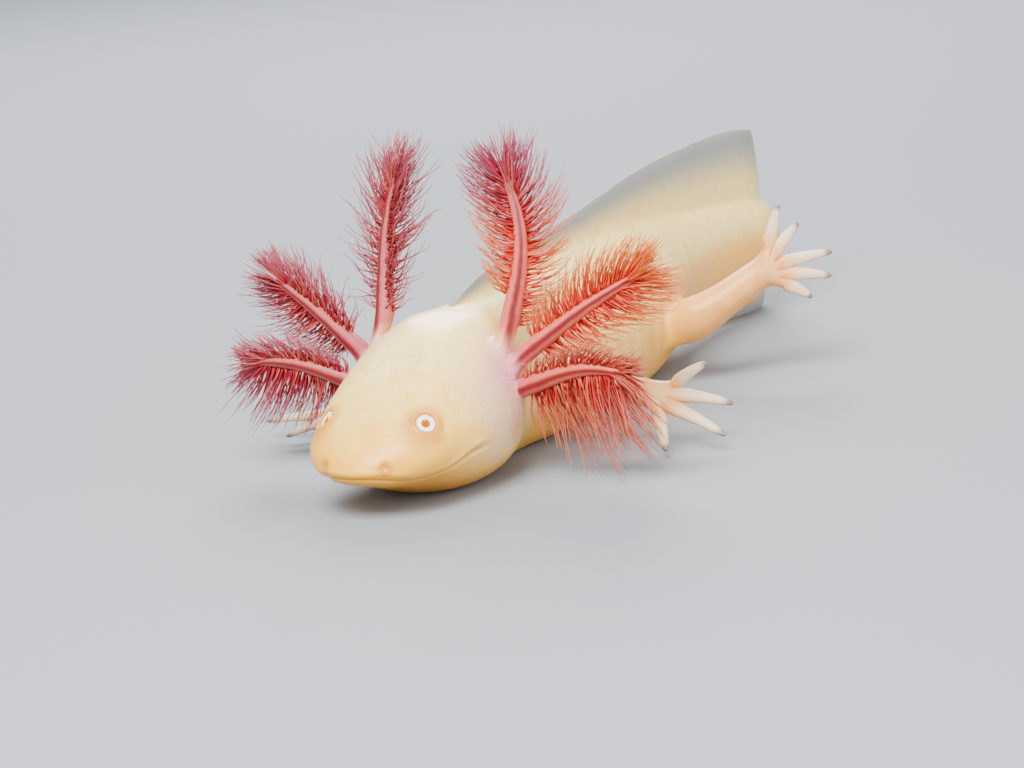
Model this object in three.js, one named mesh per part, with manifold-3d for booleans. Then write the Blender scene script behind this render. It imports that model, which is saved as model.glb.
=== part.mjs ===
// An adult axolotl, Ambystoma mexicanum, lying on the floor. Millimetres, +Z up.
// The head looks along -Y, the animal's left side is +X, and the tail folds round behind its right side.
// The body is one row of cross-sections along a spine; limbs, fins and gills grow out of it.

import * as THREE from 'three';
import { mergeVertices } from 'three/addons/utils/BufferGeometryUtils.js';
import Module from 'manifold-3d';

const wasm = await Module();
wasm.setup();

// ---------------------------------------------------------------- driving dimensions

const GAP = 0.3;                 // clearance between neighbouring pieces
const FLOOR = 0;                 // height of everything that rests

// Stations along the spine, measured backwards from the line between the eyes.
const SNOUT = -10.7;
const NECK = 31;
const SHOULDERS = 39;
const VENT = 122;
const TAIL_FOLD = 157;
const FOLD_END = 195;
const TAIL_TIP = 240;

// Bends of the spine: the stretch each runs over and its turn in degrees, to the animal's right.
const BENDS = [
  { from: 104, to: 148, turn: -9 },
  { from: TAIL_FOLD, to: FOLD_END, turn: 130 },
];

const BODY_SIDES = 20;           // facets round the body
const BODY_ROUNDNESS = 2.12;     // superellipse exponent of a cross-section
const WIDEST_LEVEL = 0.44;       // where a section is widest, as a share of its height

// Sections of the head, closer together towards the rounded snout.
const HEAD_STATIONS = [SNOUT, -10.3, -9.6, -8.4, -7, -5, -2.4, 1, 5, 10, 15, 20, 24, 28, NECK - GAP / 2];

// The mouth seen from the side: [back, height] from before the snout to behind the corner of the mouth.
const MOUTH_LINE = [[-20, 8.4], [-9.5, 8.2], [-7, 7.4], [-4, 6.8], [0, 7.0], [3, 7.8], [7, 9.3]];
const JAW_HINGE = [9, 8.4];
const JAW_BACK = [13, 2];
const WEDGE_DEPTH = 10;          // how far below the floor the wedge under the mouth line reaches
const JAW_REACH = 16;            // how far back the jaw's own sections run
const LIP_OVERHANG = 0.8;        // how far the jaw is set in under the lip at the chin
const OVERHANG_FADE = 14;        // length over which the overhang fades towards the corner of the mouth

const EYE_RADIUS = 2.15;
const EYE_LINE = { side: 9.2, back: 0.7, height: 15.1 };

const FIN_ROOT = 2.4;            // half thickness of a fin where it leaves the body
const FIN_EDGE = 0.45;           // half thickness at its free edge
const FIN_DEPTH = 3;             // how deep its root starts inside the body's outline

const GILL_ROOT_RADIUS = 2.3;
const GILL_TIP_RADIUS = 0.6;
const STALK_END = 0.97;          // share of the gill's length that the stalk runs along
const STALK_STEP = 0.15;
const GILL_STEPS = 12;           // sections of the fringe, every second one a notch
const PLUME_HALF_THICKNESS = 0.4;
const PLUME_EDGE_HALF_THICKNESS = 0.3;
const PLUME_NOTCH = 0.7;         // how far the fringe draws in between two tufts

const LIMB_SIDES = 8;
const LIMB_STEPS = 8;
const KNUCKLE_RISE = 0.8;        // how high a digit arches between wrist and tip

// Body section at a station: half width, top and underside.
const BODY = [
  { at: SNOUT, half: 0.9, top: 9.3, under: 8.3 },
  { at: -10.3, half: 2.6, top: 10.3, under: 7.7 },
  { at: -9.6, half: 4.3, top: 11.2, under: 7.2 },
  { at: -8.2, half: 6.6, top: 12.6, under: 6.5 },
  { at: -5, half: 10.3, top: 15.2, under: 5.4 },
  { at: -2.4, half: 12.3, top: 16.9, under: 4.7 },
  { at: 1, half: 13.4, top: 19.0, under: 3.6 },
  { at: 6, half: 14.6, top: 22.1, under: 1.9 },
  { at: 13, half: 15.8, top: 25.6, under: -0.4 },
  { at: 20, half: 16.5, top: 28.0, under: -1.2 },
  { at: 26, half: 15.8, top: 29.2, under: -1.1 },
  { at: NECK, half: 13.6, top: 29.3, under: -0.9 },
  { at: SHOULDERS, half: 12.4, top: 29.2, under: -0.9 },
  { at: 52, half: 13.2, top: 29.4, under: -1.6 },
  { at: 72, half: 14.2, top: 29.8, under: -1.8 },
  { at: 92, half: 13.6, top: 29.8, under: -1.6 },
  { at: 108, half: 11.6, top: 29.2, under: 0.6 },
  { at: VENT, half: 8.4, top: 28.2, under: 4.2 },
  { at: 138, half: 6.4, top: 27.0, under: 6.6 },
  { at: 160, half: 5.0, top: 24.8, under: 7.6 },
  { at: 180, half: 3.9, top: 21.4, under: 8.0 },
  { at: 200, half: 2.8, top: 17.4, under: 7.6 },
  { at: 222, half: 1.7, top: 12.6, under: 6.8 },
  { at: TAIL_TIP - 1, half: 0.7, top: 9.2, under: 6.6 },
];

// Height of the free edge of the upper and the lower fin.
const UPPER_EDGE = [
  { at: 28, z: 28.6 },
  { at: 40, z: 32.2 },
  { at: 52, z: 34.0 },
  { at: 83, z: 36.4 },
  { at: 119, z: 40.0 },
  { at: 150, z: 41.2 },
  { at: 165, z: 39.4 },
  { at: 180, z: 36.2 },
  { at: 195, z: 30.6 },
  { at: 215, z: 20.2 },
  { at: 230, z: 13.8 },
  { at: TAIL_TIP, z: 8.8 },
];
const LOWER_EDGE = [
  { at: VENT + 2, z: 5.0 },
  { at: 136, z: 2.4 },
  { at: 160, z: 0.9 },
  { at: 200, z: 1.0 },
  { at: 222, z: 2.4 },
  { at: TAIL_TIP, z: 6.8 },
];

// One gill: where its stalk leaves the head, its middle and its tip, the way its fringe opens, the
// fringe's reach that way and the other way, how far each edge leans towards the tip, and the share
// of the stalk that is bare at the root.
const GILLS = {
  gill_top_left: { root: [13, 25.4, 22.5], middle: [15.6, 30.5, 42], tip: [9.8, 34.5, 58.5],
    open: [0.86, 0.5, 0], reach: [9.4, 9.2], lean: [2.2, 2.2], bare: 0.2 },
  gill_middle_left: { root: [12.4, 25.4, 19.2], middle: [27.5, 30, 30], tip: [41, 33.5, 37.5],
    open: [-0.45, -0.12, 0.87], reach: [8.2, 9.6], lean: [2.2, 2.2], bare: 0.26 },
  gill_low_left: { root: [12.4, 24.6, 15], middle: [28.5, 23.6, 20.2], tip: [40.5, 22.5, 19.6],
    open: [0, -0.15, 1], reach: [4.6, 14.5], lean: [2, -4], bare: 0.24 },
  gill_top_right: { root: [-11, 25.6, 23], middle: [-11.8, 31, 42], tip: [-9.2, 34.5, 58],
    open: [-0.86, 0.5, 0], reach: [10, 10.2], lean: [2.2, 2.2], bare: 0.2 },
  gill_middle_right: { root: [-12.4, 25.4, 19.2], middle: [-27, 30, 28.5], tip: [-40, 33, 36],
    open: [0.45, -0.12, 0.87], reach: [7.6, 9.4], lean: [2.2, 2.2], bare: 0.3 },
  gill_low_right: { root: [-12.4, 24.6, 15], middle: [-28, 23.6, 20], tip: [-41, 22.5, 20.4],
    open: [0, -0.15, 1], reach: [5.2, 9.8], lean: [2, 0], bare: 0.24 },
};

// One limb: its joints from the body outwards with the radius there, and the tips of its digits.
const LIMBS = [
  {
    names: ['upper_arm_left', 'forearm_left', 'hand_left'],
    joints: [[8, 44, 14, 4.6], [19.5, 47.5, 12.6, 3.4], [29.6, 49, 9.8, 2.7]],
    tips: [[40.4, 51.5, 15.2], [44.8, 52.0, 7.6], [45.6, 45.8, 3.2], [36.6, 39.2, 1.7]],
  },
  {
    names: ['upper_arm_right', 'forearm_right', 'hand_right'],
    joints: [[-8, 44, 13, 4.6], [-20, 49, 11, 3.4], [-30, 46, 6, 2.7]],
    tips: [[-42.5, 50.5, 0.3], [-48.8, 44, 3.6], [-41.4, 38.4, 2.2], [-33.6, 34.4, 0.3]],
  },
  {
    names: ['thigh_left', 'shank_left', 'foot_left'],
    joints: [[4, 111, 11, 5.2], [16.8, 94.5, 12.4, 4.7], [29.5, 105, 20.6, 3.1]],
    tips: [[32.6, 108.5, 33.4], [36, 110, 29.6], [42, 111.6, 23.6], [42, 110.6, 19], [38.6, 108, 15.2]],
  },
  {
    names: ['thigh_right', 'shank_right', 'foot_right'],
    joints: [[-4, 111, 11, 5.2], [-19, 101, 9, 4.4], [-28, 110.5, 4.4, 3.0]],
    tips: [[-31, 126, 0.3], [-36.8, 124.6, 0.3], [-42, 120, 0.3], [-43.4, 113.4, 0.3], [-39.2, 107.4, 0.3]],
  },
];

const DIGIT_RADII = [2.7, 2.1, 1.05, 0.45];   // from the wrist to the tip
const DIGIT_PLACES = [-0.06, 0.28, 0.9, 1];   // where along the digit each one is

// ---------------------------------------------------------------- materials

function skin(colour, roughness = 0.42) {
  return new THREE.MeshStandardMaterial({ color: colour, roughness, metalness: 0 });
}
const CREAM = skin(0xf1e4c4);
const WARM = skin(0xf0d9a4);
const PINK = skin(0xeec3a6);
const FIN = skin(0xd9d6c8, 0.35);
const GILL = skin(0xc8505a, 0.5);
const EYE = skin(0xf4efe6, 0.08);

// ---------------------------------------------------------------- smooth tables

// A smooth curve through the rows of a table; its slope at a row is that between the rows beside it.
function smooth(rows, key, at) {
  const last = rows.length - 1;
  let i = 0;
  while (i < last - 1 && rows[i + 1].at <= at) i += 1;
  const slope = (k) => {
    const before = rows[Math.max(k - 1, 0)];
    const after = rows[Math.min(k + 1, last)];
    return (after[key] - before[key]) / (after.at - before.at);
  };
  const span = rows[i + 1].at - rows[i].at;
  const t = THREE.MathUtils.clamp((at - rows[i].at) / span, 0, 1);
  const rest = 1 - t;
  return (1 + 2 * t) * rest * rest * rows[i][key] + t * rest * rest * span * slope(i)
    + t * t * (3 - 2 * t) * rows[i + 1][key] - t * t * rest * span * slope(i + 1);
}

// Stations from one place to another, about one step apart, both ends included.
function stations(from, to, step) {
  const count = Math.max(1, Math.round((to - from) / step));
  return Array.from({ length: count + 1 }, (_, i) => from + (to - from) * i / count);
}

// ---------------------------------------------------------------- spine

// The spine runs straight back from the head and turns evenly over each bend.
function spine(at) {
  const place = new THREE.Vector3(0, Math.min(at, BENDS[0].from), 0);
  let heading = 0;
  BENDS.forEach(({ from, to, turn }, i) => {
    const radians = THREE.MathUtils.degToRad(turn);
    const radius = (to - from) / radians;
    const turned = radians * THREE.MathUtils.clamp((at - from) / (to - from), 0, 1);
    place.x += radius * (Math.cos(heading + turned) - Math.cos(heading));
    place.y += radius * (Math.sin(heading + turned) - Math.sin(heading));
    heading += turned;
    const next = BENDS[i + 1] ? BENDS[i + 1].from : Infinity;
    const straight = Math.max(0, Math.min(at, next) - to);
    place.x -= straight * Math.sin(heading);
    place.y += straight * Math.cos(heading);
  });
  return { place, side: new THREE.Vector3(Math.cos(heading), Math.sin(heading), 0) };
}

// A point beside the spine: so far to the animal's left, so high above the floor.
function beside(at, left, height) {
  const { place, side } = spine(at);
  return place.addScaledVector(side, left).setZ(height);
}

// ---------------------------------------------------------------- lofts

// A closed solid over a row of rings that have the same number of points each, with flat ends.
function loft(rings) {
  const sides = rings[0].length;
  const points = rings.flat();
  const faces = [];
  for (let r = 0; r < rings.length - 1; r += 1) {
    for (let k = 0; k < sides; k += 1) {
      const a = r * sides + k;
      const b = r * sides + (k + 1) % sides;
      faces.push(a, b, b + sides, a, b + sides, a + sides);
    }
  }
  const middle = (ring) => ring.reduce((sum, p) => sum.add(p), new THREE.Vector3()).divideScalar(sides);
  const first = points.length;
  points.push(middle(rings[0]), middle(rings[rings.length - 1]));
  const lastRing = (rings.length - 1) * sides;
  for (let k = 0; k < sides; k += 1) {
    const next = (k + 1) % sides;
    faces.push(first, next, k);
    faces.push(first + 1, lastRing + k, lastRing + next);
  }
  const geometry = new THREE.BufferGeometry().setFromPoints(points);
  geometry.setIndex(faces);
  return geometry;
}

// A closed geometry as a solid for joining and cutting, turned outside out where its faces point in.
function solid(geometry) {
  const bare = new THREE.BufferGeometry();
  bare.setAttribute('position', geometry.getAttribute('position'));
  if (geometry.getIndex()) bare.setIndex(geometry.getIndex());
  const merged = mergeVertices(bare, 1e-4);
  const triVerts = new Uint32Array(merged.getIndex().array);
  if (signedVolume(merged) < 0) triVerts.reverse();
  const vertProperties = new Float32Array(merged.getAttribute('position').array);
  return new wasm.Manifold(new wasm.Mesh({ numProp: 3, vertProperties, triVerts }));
}

function signedVolume(geometry) {
  const corners = geometry.getIndex().array;
  const position = geometry.getAttribute('position');
  const [a, b, c] = [new THREE.Vector3(), new THREE.Vector3(), new THREE.Vector3()];
  let volume = 0;
  for (let i = 0; i < corners.length; i += 3) {
    a.fromBufferAttribute(position, corners[i]);
    b.fromBufferAttribute(position, corners[i + 1]);
    c.fromBufferAttribute(position, corners[i + 2]);
    volume += a.dot(b.cross(c)) / 6;
  }
  return volume;
}

// The biggest body of a solid: what a cut leaves behind as crumbs is dropped.
function biggest(body) {
  return body.decompose().reduce((best, piece) => (piece.volume() > best.volume() ? piece : best));
}

function joined(solids) {
  return solids.reduce((sum, piece) => sum.add(piece));
}

// Everything below the floor is cut off flat.
function rested(body) {
  return body.trimByPlane([0, 0, 1], FLOOR);
}

// ---------------------------------------------------------------- body

function power(value, exponent) {
  return Math.sign(value) * Math.abs(value) ** exponent;
}

// A rounded section of the body, grown all round by one length and drawn in at the sides by another.
function bodyRing(at, grow = 0, narrow = 0) {
  const half = smooth(BODY, 'half', at) + grow - narrow;
  const top = smooth(BODY, 'top', at) + grow;
  const under = smooth(BODY, 'under', at) - grow;
  const waist = under + (top - under) * WIDEST_LEVEL;
  const floor = grow > 0 ? -grow : FLOOR;
  return Array.from({ length: BODY_SIDES }, (_, k) => {
    const angle = 2 * Math.PI * (k + 0.5) / BODY_SIDES;
    const rise = power(Math.sin(angle), 2 / BODY_ROUNDNESS);
    const height = waist + rise * (rise > 0 ? top - waist : waist - under);
    return beside(at, half * power(Math.cos(angle), 2 / BODY_ROUNDNESS), Math.max(height, floor));
  });
}

function bodyLength(from, to, step, grow = 0) {
  return solid(loft(stations(from, to, step).map((at) => bodyRing(at, grow))));
}

// The body with its clearance, which everything that grows out of it is cut back to.
const bodyClearance = bodyLength(SNOUT, TAIL_TIP, 5, GAP);

// ---------------------------------------------------------------- head and jaw

// The wedge under the mouth line, wider than the head; the offset moves the line up and the back out.
function jawWedge(offset) {
  const outline = new THREE.Shape();
  outline.moveTo(MOUTH_LINE[0][0], -WEDGE_DEPTH);
  MOUTH_LINE.forEach(([y, z]) => outline.lineTo(y, z + offset));
  outline.lineTo(JAW_HINGE[0] + offset, JAW_HINGE[1] + offset);
  outline.lineTo(JAW_BACK[0] + offset, JAW_BACK[1]);
  outline.lineTo(JAW_BACK[0] + 1 + offset, -WEDGE_DEPTH);
  outline.closePath();
  const wedge = new THREE.ExtrudeGeometry(outline, { depth: 60, bevelEnabled: false });
  // The outline's own plane is laid in the animal's upright middle plane.
  wedge.applyMatrix4(new THREE.Matrix4().makeBasis(
    new THREE.Vector3(0, 1, 0), new THREE.Vector3(0, 0, 1), new THREE.Vector3(1, 0, 0),
  ).setPosition(-30, 0, 0));
  return solid(wedge);
}

function eyeSolid(side, radius) {
  const ball = new THREE.SphereGeometry(radius, 12, 8);
  ball.translate(side * EYE_LINE.side, EYE_LINE.back, EYE_LINE.height);
  return solid(ball);
}

function headSolid() {
  const whole = solid(loft(HEAD_STATIONS.map((at) => bodyRing(at))));
  const sockets = joined([1, -1].map((side) => eyeSolid(side, EYE_RADIUS + GAP)));
  return biggest(rested(whole.subtract(jawWedge(GAP / 2)).subtract(sockets)));
}

// The lower jaw is set in under the lip, most at the chin and nothing at the corner of the mouth.
function jawSolid() {
  const chin = SNOUT + 1;
  const setIn = (at) => LIP_OVERHANG * THREE.MathUtils.clamp((JAW_HINGE[0] - at) / OVERHANG_FADE, 0, 1);
  const rings = stations(chin, JAW_REACH, 2.6).map((at) => bodyRing(at, 0, setIn(at)));
  return biggest(rested(solid(loft(rings)).intersect(jawWedge(-GAP / 2))));
}

// ---------------------------------------------------------------- fins

// A fin stands on the body from a thick root inside it to a thin free edge.
function finLength(edge, rootKey, from, to) {
  const rings = stations(from, to, 8).map((at) => {
    const root = smooth(BODY, rootKey, at);
    const free = smooth(edge, 'z', at);
    const inside = root + (rootKey === 'top' ? -FIN_DEPTH : FIN_DEPTH);
    const thick = Math.min(FIN_ROOT, smooth(BODY, 'half', at) * 0.45);
    const middle = (root + free) / 2;
    return [
      beside(at, -thick, inside), beside(at, thick, inside),
      beside(at, (thick + FIN_EDGE) / 2.4, middle), beside(at, FIN_EDGE, free),
      beside(at, -FIN_EDGE, free), beside(at, -(thick + FIN_EDGE) / 2.4, middle),
    ];
  });
  return biggest(rested(solid(loft(rings)).subtract(bodyClearance)));
}

// ---------------------------------------------------------------- limbs

// A ring round a point of a path, square to the path, wider across than it is deep.
function tubeRing(centre, along, radius, sides, flat = 1) {
  const up = Math.abs(along.z) > 0.9 ? new THREE.Vector3(0, 1, 0) : new THREE.Vector3(0, 0, 1);
  const across = new THREE.Vector3().crossVectors(along, up).normalize();
  const over = new THREE.Vector3().crossVectors(across, along).normalize();
  return Array.from({ length: sides }, (_, k) => {
    const angle = 2 * Math.PI * k / sides;
    return centre.clone()
      .addScaledVector(across, radius * Math.cos(angle))
      .addScaledVector(over, radius * flat * Math.sin(angle));
  });
}

// A smooth limb through its joints; its radius passes smoothly from joint to joint.
function limbLength(path, joints) {
  const radii = joints.map((joint, i) => ({ at: i / (joints.length - 1), radius: joint[3] }));
  return solid(loft(stations(0, 1, 1 / LIMB_STEPS).map((t) => (
    tubeRing(path.getPoint(t), path.getTangent(t), smooth(radii, 'radius', t), LIMB_SIDES)
  ))));
}

// A digit tapers from the wrist to its tip, arched a little on the way. Side by side their thick
// roots make the palm and the webs between them.
function digit(wrist, tip) {
  const knuckle = wrist.clone().lerp(tip, 0.5).add(new THREE.Vector3(0, 0, KNUCKLE_RISE));
  const path = new THREE.QuadraticBezierCurve3(wrist, knuckle, tip);
  const start = wrist.clone().lerp(tip, DIGIT_PLACES[0]);
  const rings = DIGIT_PLACES.map((t, i) => (
    tubeRing(t < 0 ? start : path.getPoint(t), path.getTangent(Math.max(t, 0)), DIGIT_RADII[i], 6, 0.85)
  ));
  return solid(loft(rings));
}

// Upper length, lower length and hand or foot of one limb, parted by flat clearances square to it.
function limbSolids({ joints, tips }) {
  const path = new THREE.CatmullRomCurve3(joints.map(([x, y, z]) => new THREE.Vector3(x, y, z)));
  const whole = limbLength(path, joints);
  const [elbow, wrist] = [path.getPoint(0.5), path.getPoint(1)];
  const beyond = (piece, t, point) => {
    const along = path.getTangent(t);
    return piece.trimByPlane(along.toArray(), point.dot(along) + GAP / 2);
  };
  const before = (piece, t, point) => {
    const back = path.getTangent(t).negate();
    return piece.trimByPlane(back.toArray(), point.dot(back) + GAP / 2);
  };
  const digits = joined(tips.map((tip) => digit(wrist, new THREE.Vector3(...tip))));
  return [
    before(whole, 0.5, elbow),
    before(beyond(whole, 0.5, elbow), 1, wrist),
    beyond(digits, 1, wrist),
  ].map((piece) => biggest(rested(piece.subtract(bodyClearance))));
}

// ---------------------------------------------------------------- gills

// A tapering stalk with a thin fringe on both sides, notched between its tufts.
function gillSolid({ root, middle, tip, open, reach, lean, bare }, grow = 0) {
  const path = new THREE.CatmullRomCurve3([root, middle, tip].map((p) => new THREE.Vector3(...p)));
  const opening = new THREE.Vector3(...open).normalize();
  const stalk = solid(loft(stations(0, STALK_END, STALK_STEP).map((t) => {
    const radius = THREE.MathUtils.lerp(GILL_ROOT_RADIUS, GILL_TIP_RADIUS, t ** 0.8);
    return tubeRing(path.getPoint(t), path.getTangent(t), radius + grow, 6);
  })));
  if (grow) return stalk;
  const fringe = stations(bare, 1, (1 - bare) / GILL_STEPS).map((t, i) => {
    const grown = (t - bare) / (1 - bare);
    // It swells soon after the root and closes over the tip.
    const full = Math.sin(Math.PI * (grown * 0.86 + 0.12)) ** 0.55;
    const notch = i % 2 ? PLUME_NOTCH : 1;
    const along = path.getTangent(t);
    const spread = opening.clone().addScaledVector(along, -opening.dot(along)).normalize();
    const face = new THREE.Vector3().crossVectors(along, spread).normalize();
    const out = reach.map((far) => far * full * notch + PLUME_HALF_THICKNESS);
    const forward = lean.map((far) => far * full);
    return fringeRing(path.getPoint(t), { along, spread, face }, out, forward);
  });
  return biggest(stalk.add(solid(loft(fringe))).subtract(bodyClearance));
}

// A thin section across the fringe: how far out its two edges are, and how far forward they lean.
function fringeRing(centre, { along, spread, face }, out, forward) {
  const point = (far, over, lead) => centre.clone()
    .addScaledVector(spread, far).addScaledVector(face, over).addScaledVector(along, lead);
  const ridge = PLUME_HALF_THICKNESS;
  const edge = PLUME_EDGE_HALF_THICKNESS;
  return [
    point(out[0], -edge, forward[0]), point(out[0], edge, forward[0]), point(0, ridge, 0),
    point(-out[1], edge, forward[1]), point(-out[1], -edge, forward[1]), point(0, -ridge, 0),
  ];
}

// ---------------------------------------------------------------- the animal

const animal = new THREE.Group();
const body = new THREE.Group();
animal.add(body);

function place(name, material, piece) {
  const { vertProperties, triVerts } = piece.getMesh();
  const geometry = new THREE.BufferGeometry();
  geometry.setAttribute('position', new THREE.BufferAttribute(vertProperties, 3));
  geometry.setIndex(new THREE.BufferAttribute(triVerts, 1));
  geometry.computeVertexNormals();
  const mesh = new THREE.Mesh(geometry, material.clone());
  mesh.name = name;
  body.add(mesh);
}

place('head', CREAM, headSolid());
place('lower_jaw', WARM, jawSolid());
[['left', 1], ['right', -1]].forEach(([name, side]) => {
  place(`eye_${name}`, EYE, eyeSolid(side, EYE_RADIUS));
});
Object.entries(GILLS).forEach(([name, shape], i, all) => {
  const above = all.slice(0, i).map(([, other]) => gillSolid(other, GAP));
  place(name, GILL, biggest(above.reduce((left, stalk) => left.subtract(stalk), gillSolid(shape))));
});

// Body lengths behind the head: each keeps the clearance to the next.
[
  ['neck', NECK, SHOULDERS, 4],
  ['trunk', SHOULDERS, VENT, 7],
  ['tail_base', VENT, TAIL_FOLD, 9],
  ['tail_fold', TAIL_FOLD, FOLD_END, 5.5],
  ['tail_end', FOLD_END, TAIL_TIP, 9],
].forEach(([name, from, to, step]) => {
  const end = to === TAIL_TIP ? 0 : GAP / 2;
  place(name, CREAM, bodyLength(from + GAP / 2, to - end, step));
});

[
  ['dorsal_fin', UPPER_EDGE, 'top', 30, VENT],
  ['tail_fin_upper_base', UPPER_EDGE, 'top', VENT, TAIL_FOLD],
  ['tail_fin_upper_fold', UPPER_EDGE, 'top', TAIL_FOLD, FOLD_END],
  ['tail_fin_upper_end', UPPER_EDGE, 'top', FOLD_END, TAIL_TIP - 2],
  ['tail_fin_lower_base', LOWER_EDGE, 'under', VENT + 4, TAIL_FOLD],
  ['tail_fin_lower_fold', LOWER_EDGE, 'under', TAIL_FOLD, FOLD_END],
  ['tail_fin_lower_end', LOWER_EDGE, 'under', FOLD_END, TAIL_TIP - 2],
].forEach(([name, edge, root, from, to]) => {
  place(name, FIN, finLength(edge, root, from + GAP / 2, to - GAP / 2));
});

LIMBS.forEach((limb) => {
  limbSolids(limb).forEach((piece, i) => place(limb.names[i], PINK, piece));
});

// The origin is the middle of the footprint, on the floor.
const extent = new THREE.Box3().setFromObject(body);
const middle = extent.getCenter(new THREE.Vector3());
body.position.set(-middle.x, -middle.y, -extent.min.z);

export default animal;
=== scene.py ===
import math
import random

import bmesh
import bpy
import numpy as np
from mathutils import Matrix, Vector, noise


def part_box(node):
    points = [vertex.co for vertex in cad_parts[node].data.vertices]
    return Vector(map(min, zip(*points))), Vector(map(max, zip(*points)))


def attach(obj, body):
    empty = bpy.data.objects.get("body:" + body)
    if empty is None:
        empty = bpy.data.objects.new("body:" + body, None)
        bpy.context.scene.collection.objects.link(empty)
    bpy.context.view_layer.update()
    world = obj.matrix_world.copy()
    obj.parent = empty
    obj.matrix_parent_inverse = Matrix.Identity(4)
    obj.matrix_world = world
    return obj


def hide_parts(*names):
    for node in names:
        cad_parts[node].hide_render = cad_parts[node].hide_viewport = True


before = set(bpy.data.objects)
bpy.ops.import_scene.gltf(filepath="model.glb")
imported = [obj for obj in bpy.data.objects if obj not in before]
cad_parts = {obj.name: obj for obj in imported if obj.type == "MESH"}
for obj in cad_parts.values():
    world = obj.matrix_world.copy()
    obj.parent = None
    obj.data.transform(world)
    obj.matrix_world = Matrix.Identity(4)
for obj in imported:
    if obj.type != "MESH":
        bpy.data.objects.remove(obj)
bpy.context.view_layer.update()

# ---------------------------------------------------------------- camera
# The animal is looked at from the front, a little to its left and from low above the floor.
# Measures are millimetres from HERE, on the floor just before the line between its eyes. The
# head faces -Y and the animal's left is +X.

MM = 0.001
EYE_BACK = 0.7
CAMERA_TURN, CAMERA_DIP, CAMERA_ROLL = 27.28, 12.49, -4.90      # degrees


def centre(node):
    low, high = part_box(node)
    return (Vector(low) + Vector(high)) / 2


brow = (centre("eye_left") + centre("eye_right")) / 2
HERE = Vector((brow.x, brow.y - EYE_BACK * MM, 0))


def spot(x, y, z):
    return HERE + Vector((x, y, z)) * MM


camera = bpy.data.objects.new("camera", bpy.data.cameras.new("camera"))
bpy.context.collection.objects.link(camera)
bpy.context.scene.camera = camera
camera.data.lens = 121.6
camera.data.sensor_width = 36
camera.data.clip_start = 0.01
camera.location = spot(288.5, -506.9, 149.5)
turn = Matrix.Rotation(math.radians(CAMERA_TURN), 4, "Z")
tilt = Matrix.Rotation(math.radians(90 - CAMERA_DIP), 4, "X")
roll = Matrix.Rotation(math.radians(CAMERA_ROLL), 4, "Z")
camera.rotation_euler = (turn @ tilt @ roll).to_euler()

# ---------------------------------------------------------------- skin: body and tail
# One soft skin covers the whole animal. It starts as a small grid over the front of the snout,
# whose rim of 28 points is drawn back along the spine, ring after ring, to the tip of the tail.

SIDES = 28
# Rows 21 to 27 and 0 to 6 climb the left side from the belly to the back.
BELLY_ROW, BACK_ROW = 21, 6
SNOUT, SNOUT_RIM = -10.7, -7.0
BENDS = [(104, 148, -9), (157, 195, 130)]      # start, end and turn in degrees
ROUNDNESS = 2.12
WIDEST = 0.44
RING_SHRINK = 0.988

# Half width, top and underside of the body, by place along the spine.
BODY = [
    (SNOUT, 0.9, 9.3, 8.3), (-10.3, 2.6, 10.3, 7.7), (-9.6, 4.3, 11.2, 7.2), (-8.2, 6.6, 12.6, 6.5),
    (-5, 10.3, 15.2, 5.4), (-2.4, 12.3, 16.9, 4.7), (1, 13.4, 19.0, 3.6), (6, 14.6, 22.1, 1.9),
    (13, 15.8, 25.6, -0.4), (20, 16.5, 28.0, -1.2), (26, 15.8, 29.2, -1.1), (31, 13.6, 29.3, -0.9),
    (39, 12.4, 29.2, -0.9), (52, 13.2, 29.4, -1.6), (72, 14.2, 29.8, -1.8), (92, 13.6, 29.8, -1.6),
    (108, 11.6, 29.2, 0.6), (122, 8.4, 28.2, 4.2), (138, 6.4, 27.0, 6.6), (160, 5.0, 24.8, 7.6),
    (180, 3.9, 21.4, 8.0), (200, 2.8, 17.4, 7.6), (222, 1.7, 12.6, 6.8), (239, 0.7, 9.2, 6.6),
]
# Height of the mouth line by place along the head.
MOUTH = [(-12, 8.3), (-9.5, 8.2), (-7, 7.4), (-4, 6.8), (0, 7.0), (3, 7.8), (7, 9.3), (11, 9.8)]


def smooth(table, column, at):
    """A smooth curve through one column of a table whose first column is the place."""
    last = len(table) - 1
    i = 0
    while i < last - 1 and table[i + 1][0] <= at:
        i += 1

    def slope(k):
        before, after = table[max(k - 1, 0)], table[min(k + 1, last)]
        return (after[column] - before[column]) / (after[0] - before[0])

    span = table[i + 1][0] - table[i][0]
    t = min(max((at - table[i][0]) / span, 0), 1)
    rest = 1 - t
    return ((1 + 2 * t) * rest * rest * table[i][column] + t * rest * rest * span * slope(i)
            + t * t * (3 - 2 * t) * table[i + 1][column] - t * t * rest * span * slope(i + 1))


def ease(value, low, high):
    """0 below low, 1 above high, and a smooth step between."""
    t = min(max((value - low) / (high - low), 0), 1)
    return t * t * (3 - 2 * t)


def spine(at):
    """The place of the spine over the floor and the direction of the animal's left there."""
    place = Vector((0, min(at, BENDS[0][0]), 0))
    heading = 0
    for i, (start, end, degrees) in enumerate(BENDS):
        bend = math.radians(degrees)
        radius = (end - start) / bend
        turned = bend * min(max((at - start) / (end - start), 0), 1)
        place.x += radius * (math.cos(heading + turned) - math.cos(heading))
        place.y += radius * (math.sin(heading + turned) - math.sin(heading))
        heading += turned
        following = BENDS[i + 1][0] if i + 1 < len(BENDS) else 1e9
        straight = max(0, min(at, following) - end)
        place += straight * Vector((-math.sin(heading), math.cos(heading), 0))
    return place, Vector((math.cos(heading), math.sin(heading), 0))


def beside(at, left, height):
    place, side = spine(at)
    place = place + left * side
    return spot(place.x, place.y, height)


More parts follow.
